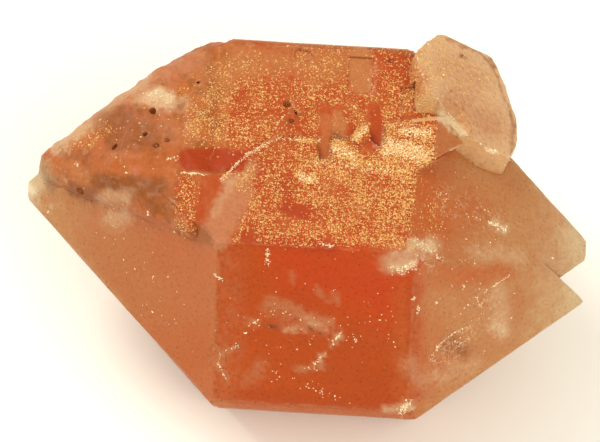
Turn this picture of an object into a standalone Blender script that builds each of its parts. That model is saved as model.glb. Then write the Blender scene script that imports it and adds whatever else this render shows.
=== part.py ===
"""A strawberry quartz crystal: one stubby crystal pointed at both ends, lying on a prism face.

The long growth axis lies along X and the crystal rests on its bottom prism face. Every flat face
is a plane given by the quartz angles and a distance from the crystal's middle, so each grown form
is a block cut by such planes. A smaller crystal sits on the right shoulder, the right end has two
parallel points with a notch between them, and the left shoulder is rough overgrowth.
"""

import math

import bmesh
import bpy
from mathutils import Matrix, Vector

# Lengths are millimetres, which the empty that carries every object turns into metres
METRES_PER_MM = 0.001

# Angles of quartz: prism faces stand 60 degrees apart, tip faces lean 51.8 degrees off the axis,
# but for one opposite pair that is stepped down to a lower angle
TIP_LEAN = math.radians(51.8)
STEPPED_LEAN = math.radians(46.0)
BLOCK_SIZE = 80.0
CUT_TOLERANCE = 1e-5
WELD_DISTANCE = 1e-4

# Turn of each prism face round the growth axis, seen from the right end
PRISM_TURNS = {"top": 90, "front": 150, "under_front": 210, "bottom": 270, "under_back": 330, "back": 30}

# Distance of each face from the crystal's middle
PRISM_DISTANCES = {
    "top": 13.0, "front": 15.3, "under_front": 16.1, "bottom": 13.0, "under_back": 15.3, "back": 15.3,
}
RIGHT_DISTANCES = {
    "top": 16.4, "front": 17.6, "under_front": 18.6, "bottom": 17.0, "under_back": 15.4, "back": 16.2,
}
LEFT_DISTANCES = {
    "top": 19.6, "front": 16.6, "under_front": 16.6, "bottom": 15.9, "under_back": 16.2, "back": 16.9,
}

# Narrow bevels along two long edges: turn round the axis and distance
EDGE_BEVELS = ((180, 17.75), (60, 15.65))

# Where each end is blunt
RIGHT_END = 23.3
LEFT_END = 24.7
LEFT_BLUNT_NORMAL = Vector((-0.90, 0.20, 0.40))
LEFT_BLUNT_DISTANCE = 24.3

# The notch that parts the right end into an upper and a lower point
UPPER_POINT_FRONT = 17.1
UPPER_POINT_UNDER = 15.7
LOWER_POINT_BACK = 10.45

# Growth step where the top face meets the right tip face
RIGHT_STEP_DEPTH = 1.0
RIGHT_STEP_NORMAL = Vector((-0.56, 0.70, 0.44))
RIGHT_STEP_DISTANCE = -0.55

# The back of the top face lies lower than its front, past a ragged step
BACK_DROP = 0.8
BACK_CUTTER_HEIGHT = 6.0
STEP_SLOPE = Vector((0.3, -0.8))
STEP_LINE = (
    (-24.0, -7.4), (-14.0, -5.3), (-10.7, -2.8), (-9.6, -2.7), (-7.8, -2.8), (-6.4, -1.9), (-5.8, -1.0),
    (-4.5, 0.3), (-3.1, 1.2), (-0.1, 1.2), (0.1, -0.9), (1.2, -0.9), (1.3, 1.1), (2.9, 1.4), (3.0, 2.1),
    (3.6, 2.7), (4.2, 2.8), (4.4, 0.6), (5.6, 0.7), (5.7, 3.1), (9.7, 4.0), (24.0, 5.8), (24.0, 30.0),
    (-24.0, 30.0),
)

# Shallow bare windows sunk in the back of the top face: middle, size across and size in depth
WINDOWS = ((3.3, 7.7, 2.1, 3.6), (-1.6, 9.4, 1.6, 1.1), (7.4, 5.6, 1.2, 2.4))
WINDOW_DEPTH = 0.15
WINDOW_CUTTER_HEIGHT = 4.0

# Pits: place on the surface, radius; each is deeper than wide
PITS = (
    ((-16.8, -0.8, 11.9), 0.3), ((-13.9, 2.5, 12.5), 0.36), ((-14.3, 0.1, 12.8), 0.26),
    ((-13.3, -1.1, 13.0), 0.3), ((-12.4, -0.5, 13.0), 0.24), ((-19.7, -2.9, 7.9), 0.4),
    ((-10.2, 5.6, 12.6), 0.3), ((-2.7, 4.3, 12.2), 0.3), ((-1.8, 3.6, 12.2), 0.24),
    ((-2.2, 2.7, 12.2), 0.2), ((11.7, 11.7, 10.0), 0.2),
)
PIT_STRETCH = 1.5
PIT_FINENESS = 2

# Rough overgrowth on the left shoulder
ROUGH_TOP = 12.7
ROUGH_BOTTOM = 1.0
ROUGH_BACK_INSET = 0.4
ROUGH_FRONT = 17.3
ROUGH_TIP = 19.8
ROUGH_BACK = 18.0
ROUGH_EDGE_NORMAL = Vector((-0.27, -0.80, -0.54))
ROUGH_EDGE_DISTANCE = 3.6
ROUGH_RIGHT_NORMAL = Vector((0.60, 0.0, 0.80))
ROUGH_RIGHT_DISTANCE = 4.6
ROUGH_GRAIN = 0.9
ROUGH_LUMP = 2.6
ROUGH_HEIGHT = 1.2
ROUGH_MIDDLE = 0.42
ROUGH_END_GAP = 0.9

# The smaller crystal on the right shoulder: outline on its own leaning tip face, from which its
# sides run down into the main crystal, against the way that it grew
SIDE_LEAN = math.radians(42.9)
SIDE_TURN = math.radians(18)
SIDE_DISTANCE = 17.45
SIDE_GROWTH = Vector((0.265, 0.385, 0.885))
SIDE_LENGTH = 9.0
SIDE_OUTLINE = (
    (-2.1, 6.3), (-2.4, 3.7), (-2.5, 2.2), (-1.1, 1.4), (0.9, -1.3), (2.9, -2.4), (5.8, -2.8), (7.9, -0.5),
    (8.8, 1.9), (8.8, 5.7), (8.1, 8.6), (2.5, 9.3), (1.4, 9.0),
)

# Shell-shaped chips: middle of the ball that cuts it, and the ball's radius
CHIPS = (
    ((11.1, -12.6, 17.2), 6.2),
    ((9.4, -18.6, 0.2), 1.2),
    ((-7.9, -18.5, 5.0), 3.6),
    ((13.1, 4.1, 14.6), 3.3),
)
CHIP_FINENESS = 3

# Plain look of the solid
QUARTZ_COLOUR = (0.56, 0.12, 0.035, 1.0)
QUARTZ_ROUGHNESS = 0.18


def new_collection(name):
    collection = bpy.data.collections.new(name)
    bpy.context.scene.collection.children.link(collection)
    return collection


def clear_scene():
    for old in list(bpy.data.objects):
        bpy.data.objects.remove(old, do_unlink=True)


def normal_at(turn):
    """Direction at this many degrees round the growth axis."""
    angle = math.radians(turn)
    return Vector((0.0, math.cos(angle), math.sin(angle)))


def prism_normal(face):
    return normal_at(PRISM_TURNS[face])


def tip_normal(face, end, lean=TIP_LEAN):
    """Normal of the tip face above a prism face, at the right end (1) or the left end (-1)."""
    return Vector((end * math.cos(lean), 0.0, 0.0)) + prism_normal(face) * math.sin(lean)


def add_object(name, mesh, collection, hidden):
    obj = bpy.data.objects.new(name, mesh)
    collection.objects.link(obj)
    if hidden:
        obj.hide_render = True
        obj.display_type = "WIRE"
    return obj


def cut_block(planes):
    """A block cut down to what lies inside every plane, each given as a normal and a distance."""
    mesh_data = bmesh.new()
    bmesh.ops.create_cube(mesh_data, size=BLOCK_SIZE)
    for normal, distance in planes:
        direction = normal.normalized()
        cut = bmesh.ops.bisect_plane(
            mesh_data,
            geom=mesh_data.verts[:] + mesh_data.edges[:] + mesh_data.faces[:],
            dist=CUT_TOLERANCE,
            plane_co=direction * distance,
            plane_no=direction,
            clear_outer=True,
        )
        rim = [item for item in cut["geom_cut"] if isinstance(item, bmesh.types.BMEdge)]
        bmesh.ops.edgeloop_fill(mesh_data, edges=rim)
    bmesh.ops.recalc_face_normals(mesh_data, faces=mesh_data.faces[:])
    mesh = bpy.data.meshes.new("block")
    mesh_data.to_mesh(mesh)
    mesh_data.free()
    return mesh


def plate(outline, thickness):
    """A flat plate of this outline in millimetres, its top at height 0."""
    curve = bpy.data.curves.new("outline", "CURVE")
    curve.dimensions = "2D"
    curve.fill_mode = "BOTH"
    curve.extrude = thickness / 2
    spline = curve.splines.new("POLY")
    spline.points.add(len(outline) - 1)
    for point, (across, depth) in zip(spline.points, outline):
        point.co = (across, depth, 0.0, 1.0)
    spline.use_cyclic_u = True
    holder = bpy.data.objects.new("outline", curve)
    bpy.context.scene.collection.objects.link(holder)
    graph = bpy.context.evaluated_depsgraph_get()
    mesh = bpy.data.meshes.new_from_object(holder.evaluated_get(graph))
    bpy.data.objects.remove(holder, do_unlink=True)
    mesh.transform(Matrix.Translation((0.0, 0.0, -thickness / 2)))
    weld(mesh)
    return mesh


def weld(mesh):
    mesh_data = bmesh.new()
    mesh_data.from_mesh(mesh)
    bmesh.ops.remove_doubles(mesh_data, verts=mesh_data.verts[:], dist=WELD_DISTANCE)
    bmesh.ops.recalc_face_normals(mesh_data, faces=mesh_data.faces[:])
    mesh_data.to_mesh(mesh)
    mesh_data.free()


def combine(target, tool, operation):
    modifier = target.modifiers.new(tool.name, "BOOLEAN")
    modifier.operation = operation
    modifier.object = tool
    modifier.solver = "EXACT"


def tip_planes(distances, end, stepped_face):
    planes = []
    for face, distance in distances.items():
        lean = STEPPED_LEAN if face == stepped_face else TIP_LEAN
        planes.append((tip_normal(face, end, lean), distance))
    return planes


def main_planes():
    planes = [(prism_normal(face), distance) for face, distance in PRISM_DISTANCES.items()]
    planes += [(normal_at(turn), distance) for turn, distance in EDGE_BEVELS]
    planes += tip_planes(RIGHT_DISTANCES, 1, "back")
    planes += tip_planes(LEFT_DISTANCES, -1, "under_front")
    planes.append((Vector((1.0, 0.0, 0.0)), RIGHT_END))
    planes.append((Vector((-1.0, 0.0, 0.0)), LEFT_END))
    planes.append((LEFT_BLUNT_NORMAL, LEFT_BLUNT_DISTANCE))
    return planes


def main_crystal(collection):
    return add_object("quartz_crystal", cut_block(main_planes()), collection, False)


def notch_cutter(tools):
    """Parts the right end: takes what lies behind the lower point but leaves the upper point."""
    behind_lower_point = (-tip_normal("back", 1), -LOWER_POINT_BACK)
    upper_point_planes = [
        (tip_normal("front", 1), UPPER_POINT_FRONT),
        (tip_normal("under_front", 1), UPPER_POINT_UNDER),
    ]
    right_half = (Vector((-1.0, 0.0, 0.0)), 0.0)
    notch = add_object("notch", cut_block([behind_lower_point, right_half]), tools, True)
    combine(notch, add_object("upper_point", cut_block(upper_point_planes), tools, True), "DIFFERENCE")
    return notch


def right_step_cutter(tools):
    """Takes the right tip face down by one growth step, in front of a slanting line."""
    surface = (-tip_normal("top", 1), RIGHT_STEP_DEPTH - RIGHT_DISTANCES["top"])
    line = (RIGHT_STEP_NORMAL, RIGHT_STEP_DISTANCE)
    return add_object("right_step", cut_block([surface, line]), tools, True)


def back_drop_cutter(tools):
    """Lowers the back of the top face, with a sloping bank along its ragged front."""
    mesh = plate(STEP_LINE, BACK_CUTTER_HEIGHT)
    floor = PRISM_DISTANCES["top"] - BACK_DROP
    for vertex in mesh.vertices:
        rise = vertex.co.z + BACK_CUTTER_HEIGHT
        vertex.co.x += STEP_SLOPE.x * rise / BACK_DROP
        vertex.co.y += STEP_SLOPE.y * rise / BACK_DROP
    mesh.transform(Matrix.Translation((0.0, 0.0, floor + BACK_CUTTER_HEIGHT)))
    return add_object("back_drop", mesh, tools, True)


def window_cutters(tools):
    cutters = []
    floor = PRISM_DISTANCES["top"] - BACK_DROP - WINDOW_DEPTH
    for number, (across, depth, wide, long) in enumerate(WINDOWS, 1):
        mesh_data = bmesh.new()
        bmesh.ops.create_cube(mesh_data, size=1.0)
        bmesh.ops.scale(mesh_data, vec=(wide, long, WINDOW_CUTTER_HEIGHT), verts=mesh_data.verts[:])
        place = Vector((across, depth, floor + WINDOW_CUTTER_HEIGHT / 2))
        bmesh.ops.translate(mesh_data, vec=place, verts=mesh_data.verts[:])
        mesh = bpy.data.meshes.new("window")
        mesh_data.to_mesh(mesh)
        mesh_data.free()
        cutters.append(add_object(f"window_{number}", mesh, tools, True))
    return cutters


def even_grain(obj):
    """Even small faces, which also clears the places where a swollen surface crosses itself."""
    remesh = obj.modifiers.new("grain", "REMESH")
    remesh.mode = "VOXEL"
    remesh.voxel_size = ROUGH_GRAIN


def rough_overgrowth(tools):
    """Lumpy growth on the left shoulder, a block of flat faces that a noise swells and dents."""
    planes = [
        (prism_normal("top"), ROUGH_TOP),
        (-prism_normal("top"), ROUGH_BOTTOM),
        (tip_normal("front", -1), ROUGH_FRONT),
        (tip_normal("top", -1), ROUGH_TIP),
        (tip_normal("back", -1), ROUGH_BACK),
        (prism_normal("back"), PRISM_DISTANCES["back"] - ROUGH_BACK_INSET),
        (ROUGH_EDGE_NORMAL, ROUGH_EDGE_DISTANCE),
        (ROUGH_RIGHT_NORMAL, ROUGH_RIGHT_DISTANCE),
        (Vector((-1.0, 0.0, 0.0)), LEFT_END - ROUGH_END_GAP),
    ]
    obj = add_object("rough_overgrowth", cut_block(planes), tools, True)
    even_grain(obj)
    noise = bpy.data.textures.new("lumps", "CLOUDS")
    noise.noise_scale = ROUGH_LUMP
    swell = obj.modifiers.new("swell", "DISPLACE")
    swell.texture = noise
    swell.texture_coords = "LOCAL"
    swell.strength = ROUGH_HEIGHT
    swell.mid_level = ROUGH_MIDDLE
    even_grain(obj)
    obj.modifiers.new("triangles", "TRIANGULATE")
    return obj


def side_crystal(tools):
    """The smaller crystal, a leaning many-sided tip face on straight sides."""
    mesh = plate(SIDE_OUTLINE, 1.0)
    place = Matrix.Rotation(SIDE_TURN, 4, "Z") @ Matrix.Rotation(SIDE_LEAN, 4, "Y")
    place = place @ Matrix.Translation((0.0, 0.0, SIDE_DISTANCE))
    for vertex in mesh.vertices:
        face_point = place @ Vector((vertex.co.x, vertex.co.y, 0.0))
        vertex.co = face_point + SIDE_GROWTH * vertex.co.z * SIDE_LENGTH
    return add_object("side_crystal", mesh, tools, True)


def ball_cutter(name, middle, radius, height, fineness, tools):
    """A ball, or an egg where height differs from radius."""
    mesh_data = bmesh.new()
    bmesh.ops.create_icosphere(mesh_data, subdivisions=fineness, radius=radius)
    bmesh.ops.scale(mesh_data, vec=(1.0, 1.0, height / radius), verts=mesh_data.verts[:])
    bmesh.ops.translate(mesh_data, vec=middle, verts=mesh_data.verts[:])
    mesh = bpy.data.meshes.new(name)
    mesh_data.to_mesh(mesh)
    mesh_data.free()
    return add_object(name, mesh, tools, True)


def pit_cutters(tools):
    return [
        ball_cutter(f"pit_{number}", Vector(middle), radius, radius * PIT_STRETCH, PIT_FINENESS, tools)
        for number, (middle, radius) in enumerate(PITS, 1)
    ]


def chip_cutters(tools):
    return [
        ball_cutter(f"chip_{number}", Vector(middle), radius, radius, CHIP_FINENESS, tools)
        for number, (middle, radius) in enumerate(CHIPS, 1)
    ]


def quartz_material():
    material = bpy.data.materials.new("strawberry_quartz")
    material.use_nodes = True
    shader = material.node_tree.nodes["Principled BSDF"]
    shader.inputs["Base Color"].default_value = QUARTZ_COLOUR
    shader.inputs["Roughness"].default_value = QUARTZ_ROUGHNESS
    shader.inputs["Metallic"].default_value = 0.0
    return material


def stand_on_origin(crystal, parts):
    """Hangs every object on one empty in metres, with the box's bottom middle at the origin."""
    place = bpy.data.objects.new("crystal_place", None)
    place.scale = (METRES_PER_MM, METRES_PER_MM, METRES_PER_MM)
    bpy.context.scene.collection.objects.link(place)
    for obj in parts:
        obj.parent = place
    bpy.context.view_layer.update()
    shape = crystal.evaluated_get(bpy.context.evaluated_depsgraph_get())
    corners = [Vector(corner) for corner in shape.bound_box]
    low = Vector(min(corner[axis] for corner in corners) for axis in range(3))
    high = Vector(max(corner[axis] for corner in corners) for axis in range(3))
    place.location = Vector((-(low.x + high.x) / 2, -(low.y + high.y) / 2, -low.z)) * METRES_PER_MM


def build():
    clear_scene()
    collection = new_collection("strawberry_quartz_crystal")
    tools = new_collection("shaping_tools")
    crystal = main_crystal(collection)
    crystal.data.materials.append(quartz_material())
    for cutter in (right_step_cutter(tools), back_drop_cutter(tools), notch_cutter(tools)):
        combine(crystal, cutter, "DIFFERENCE")
    for growth in (side_crystal(tools), rough_overgrowth(tools)):
        combine(crystal, growth, "UNION")
    for cutter in window_cutters(tools) + pit_cutters(tools) + chip_cutters(tools):
        combine(crystal, cutter, "DIFFERENCE")
    stand_on_origin(crystal, [crystal] + list(tools.objects))


build()
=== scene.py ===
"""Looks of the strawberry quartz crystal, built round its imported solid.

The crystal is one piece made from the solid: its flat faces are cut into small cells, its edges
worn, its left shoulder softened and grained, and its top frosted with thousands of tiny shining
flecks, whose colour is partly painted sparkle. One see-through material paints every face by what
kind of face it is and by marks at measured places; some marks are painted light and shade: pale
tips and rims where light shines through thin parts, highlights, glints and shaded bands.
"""

import math

import bpy
import numpy as np
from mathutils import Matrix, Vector, noise
from mathutils.bvhtree import BVHTree


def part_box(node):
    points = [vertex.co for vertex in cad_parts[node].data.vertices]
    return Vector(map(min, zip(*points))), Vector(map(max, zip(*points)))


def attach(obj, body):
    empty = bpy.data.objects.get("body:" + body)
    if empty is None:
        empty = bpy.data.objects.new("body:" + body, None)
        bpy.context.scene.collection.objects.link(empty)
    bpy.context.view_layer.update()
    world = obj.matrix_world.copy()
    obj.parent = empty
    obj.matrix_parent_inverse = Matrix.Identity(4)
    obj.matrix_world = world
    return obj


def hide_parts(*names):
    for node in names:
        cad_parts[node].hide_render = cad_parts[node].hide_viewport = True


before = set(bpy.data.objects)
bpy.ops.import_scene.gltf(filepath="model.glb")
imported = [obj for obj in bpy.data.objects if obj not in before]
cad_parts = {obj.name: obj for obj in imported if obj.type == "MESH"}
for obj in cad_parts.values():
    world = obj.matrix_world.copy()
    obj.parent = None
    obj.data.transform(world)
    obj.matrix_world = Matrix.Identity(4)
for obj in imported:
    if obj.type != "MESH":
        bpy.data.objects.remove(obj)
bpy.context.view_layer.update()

# Places on the crystal are millimetres from its middle, which the solid's box gives
MM = 0.001
LEFT_END = 24.7
FRONT_EDGE = 17.75
HALF_HEIGHT = 13.0
node_low = Vector(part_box("quartz_crystal")[0])
MIDDLE = node_low + Vector((LEFT_END, FRONT_EDGE, HALF_HEIGHT)) * MM

# Camera, fitted to the crystal's edges in a picture of this size
IMAGE_WIDTH = 600
IMAGE_HEIGHT = 442
CAMERA_TURN = math.radians(4.0)
CAMERA_RISE = math.radians(58.5)
CAMERA_AWAY = 0.420
CAMERA_AIM = Vector((-1.315, 0.312, 0.0))
SENSOR_WIDTH = 36.0
FOCAL_PIXELS = 4882.5
PIXEL = CAMERA_AWAY / FOCAL_PIXELS / MM
CAMERA_BACK = Vector((
    math.sin(CAMERA_TURN) * math.cos(CAMERA_RISE),
    -math.cos(CAMERA_TURN) * math.cos(CAMERA_RISE),
    math.sin(CAMERA_RISE),
))
CAMERA_RIGHT = Vector((math.cos(CAMERA_TURN), math.sin(CAMERA_TURN), 0.0))
CAMERA_UP = CAMERA_BACK.cross(CAMERA_RIGHT)
CAMERA_PLACE = MIDDLE + CAMERA_AIM * MM + CAMERA_BACK * CAMERA_AWAY

# Quartz angles
TIP_LEAN = math.radians(51.8)
STEPPED_LEAN = math.radians(46.0)
PRISM_TURNS = {"top": 90, "front": 150, "under_front": 210, "bottom": 270, "under_back": 330, "back": 30}
FRONT_BEVEL_TURN = 180

# How finely the faces are cut, and how much edges and faces are worn
CELL = 1.7
CELL_LEVELS = 2
SHARP = math.radians(14)
EDGE_ROUNDING = 0.45
SHOULDER_ROUNDS = 20
BANK_ROUNDS = 4

# Flecks
FLECK_COUNT = 26000
FLECK_SIZE = 0.068
FLECK_SEED = 11
FLECK_HEIGHT = 0.6
GRAIN_SIZE = 0.075
STRAY_FLECKS = 0.0001

# Light: how bright the scene's light makes a white face, and the sheen that lies over it
WHITE_GAIN = 1.07
SHEEN = 0.028


def linear(value):
    """A colour value of 0 to 255, as the linear value that shaders take."""
    share = value / 255
    return share / 12.92 if share <= 0.04045 else ((share + 0.055) / 1.055) ** 2.4


def paint(red, green, blue):
    """The paint that shows as this colour under the scene's light."""
    return (*(min(max((linear(value) - SHEEN) / WHITE_GAIN, 0.0), 1.0) for value in (red, green, blue)), 1.0)


def prism_normal(turn):
    angle = math.radians(turn)
    return Vector((0.0, math.cos(angle), math.sin(angle)))


def tip_normal(face, end, lean=TIP_LEAN):
    return Vector((end * math.cos(lean), 0.0, 0.0)) + prism_normal(PRISM_TURNS[face]) * math.sin(lean)


def work_on(obj):
    """Selects one object alone and makes it active."""
    if bpy.context.object and bpy.context.object.mode != "OBJECT":
        bpy.ops.object.mode_set(mode="OBJECT")
    bpy.ops.object.select_all(action="DESELECT")
    obj.select_set(True)
    bpy.context.view_layer.objects.active = obj


def points_of(mesh):
    """The mesh's vertices in millimetres from the crystal's middle."""
    flat = np.empty(len(mesh.vertices) * 3)
    mesh.vertices.foreach_get("co", flat)
    return (flat.reshape(-1, 3) - np.array(MIDDLE)) / MM


# Where things show in the picture


def picture_places(points):
    """Where points, in millimetres from the middle, show in the picture, across and down in pixels."""
    offset = points * MM + np.array(MIDDLE - CAMERA_PLACE)
    depth = -offset @ np.array(CAMERA_BACK)
    across = IMAGE_WIDTH / 2 + FOCAL_PIXELS * (offset @ np.array(CAMERA_RIGHT)) / depth
    down = IMAGE_HEIGHT / 2 - FOCAL_PIXELS * (offset @ np.array(CAMERA_UP)) / depth
    return np.stack([across, down], axis=1)


def seen_at(solid, across, down):
    """The place on the solid, in millimetres, that shows at this pixel, and the face's normal there."""
    right = CAMERA_RIGHT * (across - IMAGE_WIDTH / 2)
    up = CAMERA_UP * (IMAGE_HEIGHT / 2 - down)
    ray = (right + up - CAMERA_BACK * FOCAL_PIXELS).normalized()
    place, normal, _, _ = solid.ray_cast(CAMERA_PLACE, ray)
    if place is None:
        place, normal, _, _ = solid.find_nearest(CAMERA_PLACE + ray * CAMERA_AWAY)
    return (place - MIDDLE) / MM, normal


def near_line(places, start, end, half_width, soft):
    """1 on a line in the picture, falling to 0 round the half width, all in pixels."""
    start = np.array(start, dtype=float)
    way = np.array(end) - start
    share = np.clip(((places - start) @ way) / max(way @ way, 1.0), 0.0, 1.0)
    away = np.linalg.norm(places - start - share[:, None] * way, axis=1) / half_width
    near = np.clip((1.0 - away) / soft + 0.5, 0.0, 1.0)
    return near * near * (3 - 2 * near)


# The crystal's mesh


def merged_copy():
    """A copy of the solid with its loose triangles merged back into whole flat faces."""
    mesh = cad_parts["quartz_crystal"].data.copy()
    mesh.materials.clear()
    crystal = bpy.data.objects.new("crystal", mesh)
    bpy.context.scene.collection.objects.link(crystal)
    work_on(crystal)
    bpy.ops.object.mode_set(mode="EDIT")
    bpy.ops.mesh.select_all(action="SELECT")
    bpy.ops.mesh.remove_doubles(threshold=2e-6)
    bpy.ops.mesh.dissolve_limited(angle_limit=math.radians(0.5), use_dissolve_boundaries=False)
    bpy.ops.object.mode_set(mode="OBJECT")
    return crystal


def cut_into_cells(crystal):
    """Cuts every face along an even grid, which leaves faces flat and edges sharp."""
    work_on(crystal)
    low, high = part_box("quartz_crystal")
    bpy.ops.object.mode_set(mode="EDIT")
    for axis in range(3):
        direction = Vector((0.0, 0.0, 0.0))
        direction[axis] = 1.0
        count = round((high[axis] - low[axis]) / (CELL * MM))
        for step in range(1, count):
            place = direction * (low[axis] + (high[axis] - low[axis]) * step / count)
            bpy.ops.mesh.select_all(action="SELECT")
            bpy.ops.mesh.bisect(plane_co=place, plane_no=direction)
    bpy.ops.object.mode_set(mode="OBJECT")


FACE_KINDS = ("window", "strip", "top", "bank", "rough", "side", "right", "left", "hidden")


def flat_face_kind(normal):
    """The kind of a whole crystal face, by its normal, or None on steps, chips and rough growth."""
    flat = math.cos(math.radians(2.0))
    leans = (TIP_LEAN, STEPPED_LEAN)
    faces = {
        "window": [prism_normal(PRISM_TURNS["front"])],
        "strip": [prism_normal(FRONT_BEVEL_TURN)],
        "right": [tip_normal("top", 1), tip_normal("front", 1)],
        "left": [tip_normal("front", -1), tip_normal("under_front", -1, STEPPED_LEAN)],
        "hidden": [prism_normal(turn) for turn in PRISM_TURNS.values() if turn != PRISM_TURNS["top"]]
        + [tip_normal(face, end, lean) for face in PRISM_TURNS for end in (1, -1) for lean in leans],
    }
    for kind, normals in faces.items():
        if any(normal.dot(direction) > flat for direction in normals):
            return kind
    return None


def face_kind(middle, normal):
    """Which kind of face this is, by the way that it looks and by its place in millimetres."""
    kind = flat_face_kind(normal)
    if kind:
        return kind
    if middle.x < -7.0 and middle.z > -4.0 and -0.27 * middle.x - 0.80 * middle.y - 0.54 * middle.z < 5.4:
        if not (normal.z > 0.999 and middle.z > 12.9 and middle.x > -10.0):
            return "rough"
    if middle.x > 7.2 and middle.y > 1.2 and normal.z < 0.99:
        return "side"
    if middle.x > 8.0 and middle.z < 11.5:
        return "right"
    if middle.z > 11.0:
        return "top" if normal.z > 0.95 else "bank"
    return "hidden"


def mark_kinds(crystal):
    mesh = crystal.data
    kinds = np.zeros(len(mesh.polygons))
    for polygon in mesh.polygons:
        middle = (polygon.center - MIDDLE) / MM
        kinds[polygon.index] = FACE_KINDS.index(face_kind(middle, polygon.normal))
    attribute = mesh.attributes.new("kind", "INT", "FACE")
    attribute.data.foreach_set("value", kinds.astype(int))


def split_cells(crystal):
    """Splits every cell evenly, with the kind of its face passed on."""
    work_on(crystal)
    split = crystal.modifiers.new("split", "SUBSURF")
    split.subdivision_type = "SIMPLE"
    split.levels = CELL_LEVELS
    split.render_levels = CELL_LEVELS
    bpy.ops.object.modifier_apply(modifier="split")


def kinds_of(mesh):
    kinds = np.empty(len(mesh.polygons), dtype=np.int32)
    mesh.attributes["kind"].data.foreach_get("value", kinds)
    return kinds


def normals_of(mesh):
    """The mesh's vertex normals."""
    flat = np.empty(len(mesh.vertices) * 3)
    mesh.vertices.foreach_get("normal", flat)
    return flat.reshape(-1, 3)


def point_share(mesh, faces):
    """For each vertex, the share of the faces round it that are in this set."""
    totals = np.empty(len(mesh.polygons), dtype=np.int32)
    corners = np.empty(len(mesh.loops), dtype=np.int32)
    mesh.polygons.foreach_get("loop_total", totals)
    mesh.loops.foreach_get("vertex_index", corners)
    weight = np.repeat(faces.astype(float), totals)
    count = np.bincount(corners, minlength=len(mesh.vertices))
    return np.bincount(corners, weights=weight, minlength=len(mesh.vertices)) / np.maximum(count, 1)


def add_group(obj, name, weights):
    """A vertex group with these weights, in steps of a tenth."""
    group = obj.vertex_groups.new(name=name)
    for level in range(1, 11):
        members = np.where(np.round(weights * 10) == level)[0]
        if len(members):
            group.add(members.tolist(), level / 10, "REPLACE")


def dent(obj, name, kind, size, strength, middle, group):
    """One pass of real relief, from a texture whose grain is in millimetres, applied to the mesh."""
    texture = bpy.data.textures.new(name, kind)
    texture.noise_scale = size * MM
    relief = obj.modifiers.new(name, "DISPLACE")
    relief.texture = texture
    relief.texture_coords = "LOCAL"
    relief.strength = strength * MM
    relief.mid_level = middle
    if group:
        relief.vertex_group = group
    work_on(obj)
    bpy.ops.object.modifier_apply(modifier=name)


def wear_edges(crystal):
    """Rounds the sharp edges a little and unevenly, as on a crystal that has been handled."""
    work_on(crystal)
    bpy.ops.object.mode_set(mode="EDIT")
    bpy.ops.mesh.select_mode(type="EDGE")
    bpy.ops.mesh.select_all(action="DESELECT")
    bpy.ops.mesh.edges_select_sharp(sharpness=SHARP)
    bpy.ops.mesh.vertices_smooth(factor=EDGE_ROUNDING, repeat=1)
    bpy.ops.object.mode_set(mode="OBJECT")
    mesh = crystal.data
    picked = np.zeros(len(mesh.vertices), dtype=bool)
    mesh.vertices.foreach_get("select", picked)
    add_group(crystal, "edges", picked.astype(float))
    attribute = mesh.attributes.new("worn", "FLOAT", "POINT")
    attribute.data.foreach_set("value", picked.astype(np.float32))
    dent(crystal, "edge_chips", "CLOUDS", 0.9, 0.16, 1.0, "edges")


def soften_shoulder(crystal):
    """Melts the overgrowth's lumps into the soft, glassy relief of the left shoulder."""
    mesh = crystal.data
    share = point_share(mesh, kinds_of(mesh) == FACE_KINDS.index("rough"))
    work_on(crystal)
    mesh.polygons.foreach_set("select", np.zeros(len(mesh.polygons), dtype=bool))
    mesh.edges.foreach_set("select", np.zeros(len(mesh.edges), dtype=bool))
    mesh.vertices.foreach_set("select", share > 0.0)
    bpy.ops.object.mode_set(mode="EDIT")
    bpy.ops.mesh.select_mode(type="VERT")
    bpy.ops.mesh.vertices_smooth(factor=0.5, repeat=SHOULDER_ROUNDS)
    bpy.ops.mesh.select_all(action="DESELECT")
    bpy.ops.object.mode_set(mode="OBJECT")
    mesh.vertices.foreach_set("select", point_share(mesh, kinds_of(mesh) == FACE_KINDS.index("bank")) > 0.0)
    bpy.ops.object.mode_set(mode="EDIT")
    bpy.ops.mesh.vertices_smooth(factor=0.5, repeat=BANK_ROUNDS)
    bpy.ops.object.mode_set(mode="OBJECT")


def roughen(crystal):
    """Low lumps and grain on the left shoulder, fine frosting on the top, a faint swell elsewhere."""
    mesh = crystal.data
    kinds = kinds_of(mesh)
    add_group(crystal, "rough", point_share(mesh, kinds == FACE_KINDS.index("rough")))
    add_group(crystal, "top", point_share(mesh, kinds == FACE_KINDS.index("top")))
    dent(crystal, "swell", "CLOUDS", 4.0, 0.06, 0.5, None)
    dent(crystal, "lumps", "CLOUDS", 1.5, 0.35, 0.5, "rough")
    dent(crystal, "grain", "VORONOI", 0.8, 0.12, 0.4, "rough")
    dent(crystal, "frosting", "CLOUDS", 0.45, 0.08, 0.5, "top")


# Node building


def node(tree, kind, inputs=None, **settings):
    """Adds a node, sets its properties, and fills its inputs with values or links them to sockets."""
    made = tree.nodes.new(kind)
    for name, value in settings.items():
        setattr(made, name, value)
    for name, value in (inputs or {}).items():
        socket = made.inputs[name]
        if isinstance(value, bpy.types.NodeSocket):
            tree.links.new(value, socket)
        else:
            socket.default_value = value
    return made


def group_shell(name, inputs, outputs):
    """An empty node group with these named sockets, each given as a type and a starting value."""
    tree = bpy.data.node_groups.new(name, "ShaderNodeTree")
    for label, (kind, value) in inputs.items():
        socket = tree.interface.new_socket(label, in_out="INPUT", socket_type=kind)
        if value is not None:
            socket.default_value = value
    for label, kind in outputs.items():
        tree.interface.new_socket(label, in_out="OUTPUT", socket_type=kind)
    return tree, tree.nodes.new("NodeGroupInput").outputs, tree.nodes.new("NodeGroupOutput").inputs


def math_of(tree, operation, first, second=0.0, third=0.0, clamp=False):
    inputs = {0: first, 1: second, 2: third}
    return node(tree, "ShaderNodeMath", inputs, operation=operation, use_clamp=clamp).outputs[0]


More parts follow.
